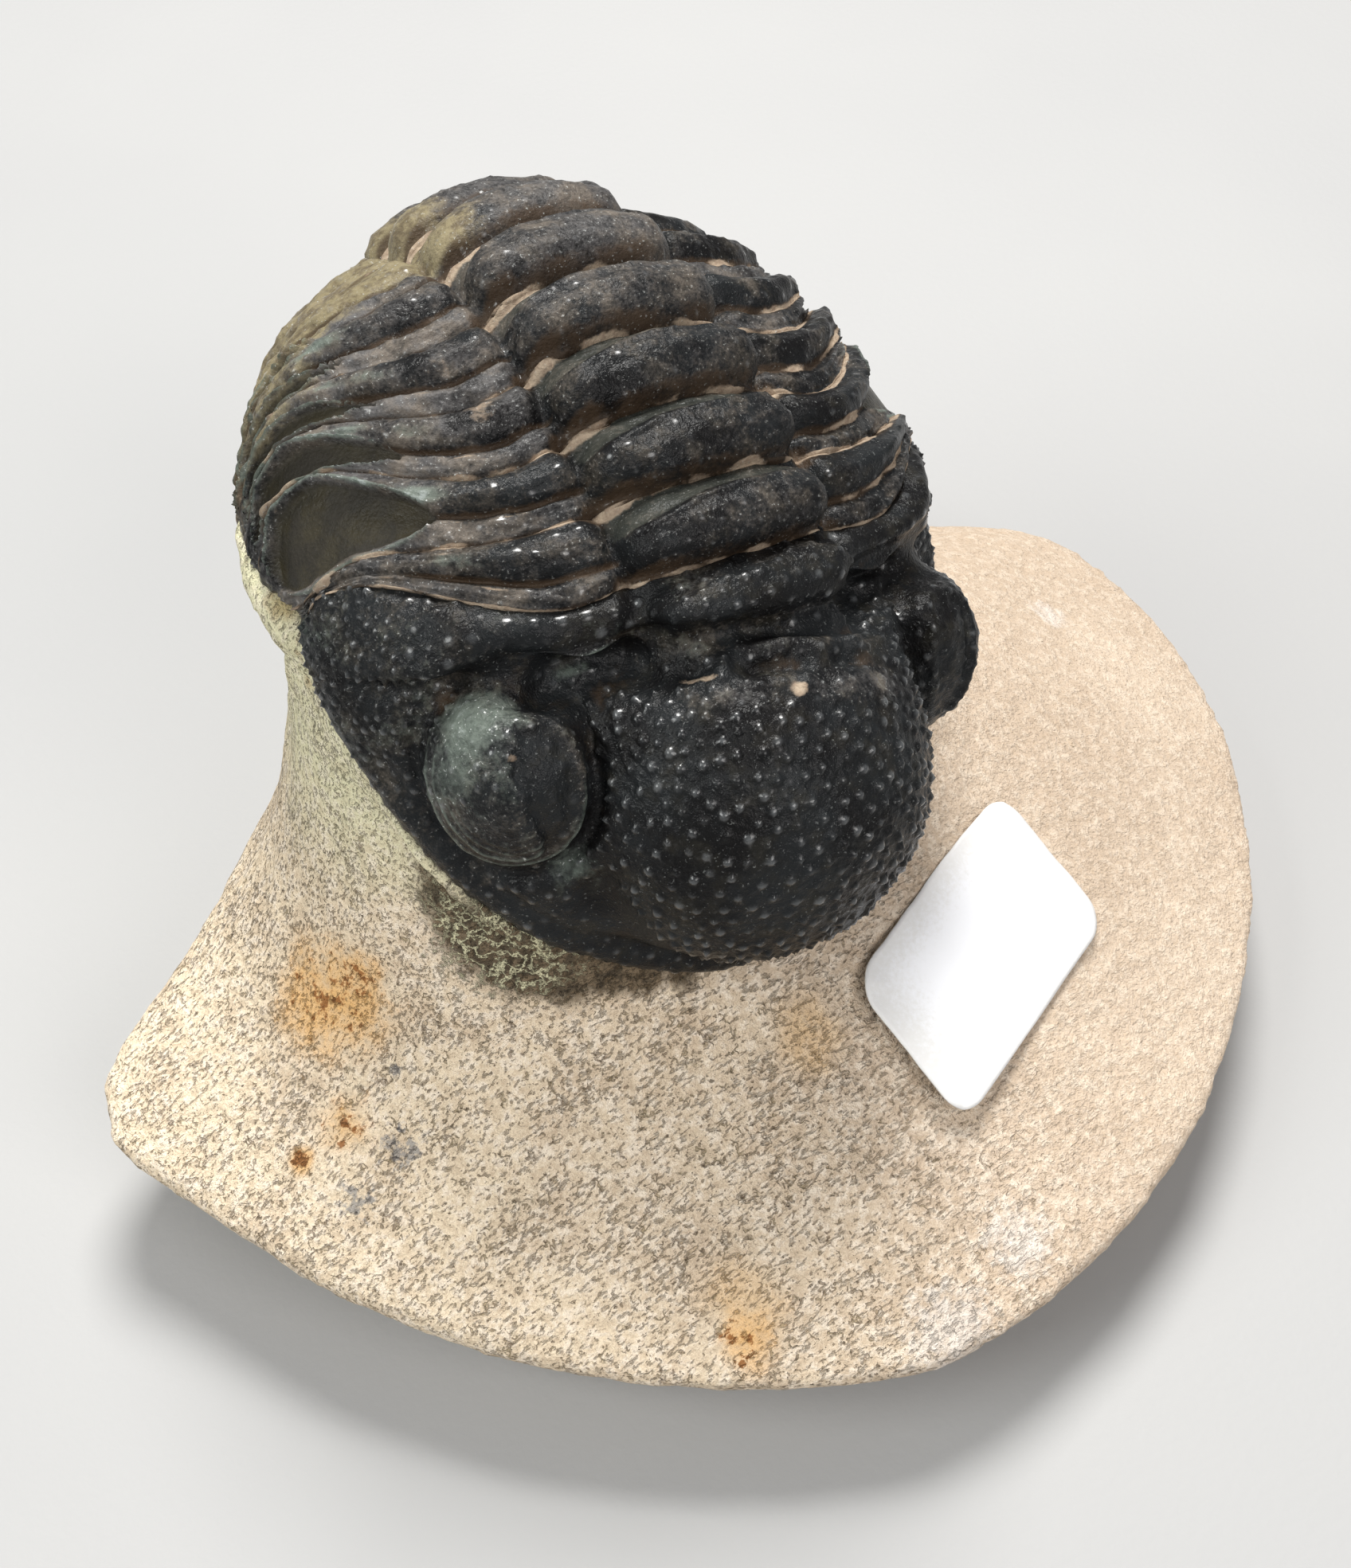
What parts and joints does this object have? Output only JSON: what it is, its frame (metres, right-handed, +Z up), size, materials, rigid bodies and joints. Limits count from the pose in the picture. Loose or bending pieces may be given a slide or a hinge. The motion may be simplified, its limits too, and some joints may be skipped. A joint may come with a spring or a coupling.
{
  "type": "trilobite in matrix",
  "caption": "Enrolled trilobite fossil, head and arched ribbed body, standing on the neck of its fan-shaped limestone matrix, with a small blank paper label.",
  "frame": {"origin": "centre of the object's bounding box in plan, at the height of the surface that it rests on", "axes": "+Z up, -Y to the front, where the head faces, and +X to the right of someone who faces the head"},
  "size_m": [0.0955, 0.0805, 0.0606],
  "materials": {
    "limestone": "cream to pinkish-beige limestone, dull and fine-grained, with tool marks, pits and a few rust stains",
    "fossil_shell": "near-black calcite shell, half gloss, granular, with cream rock left in its furrows",
    "paper": "white paper label, smooth and matt, blank"
  },
  "bodies": {
    "root": {"matrix_stone": "limestone", "cephalon": "fossil_shell", "thoracic_segment_01": "fossil_shell", "thoracic_segment_02": "fossil_shell", "thoracic_segment_03": "fossil_shell", "thoracic_segment_04": "fossil_shell", "thoracic_segment_05": "fossil_shell", "thoracic_segment_06": "fossil_shell", "thoracic_segment_07": "fossil_shell", "thoracic_segment_08": "fossil_shell", "thoracic_segment_09": "fossil_shell", "thoracic_segment_10": "fossil_shell", "thoracic_segment_11": "fossil_shell", "pygidium": "fossil_shell", "specimen_label": "paper"}
  },
  "joints": []
}
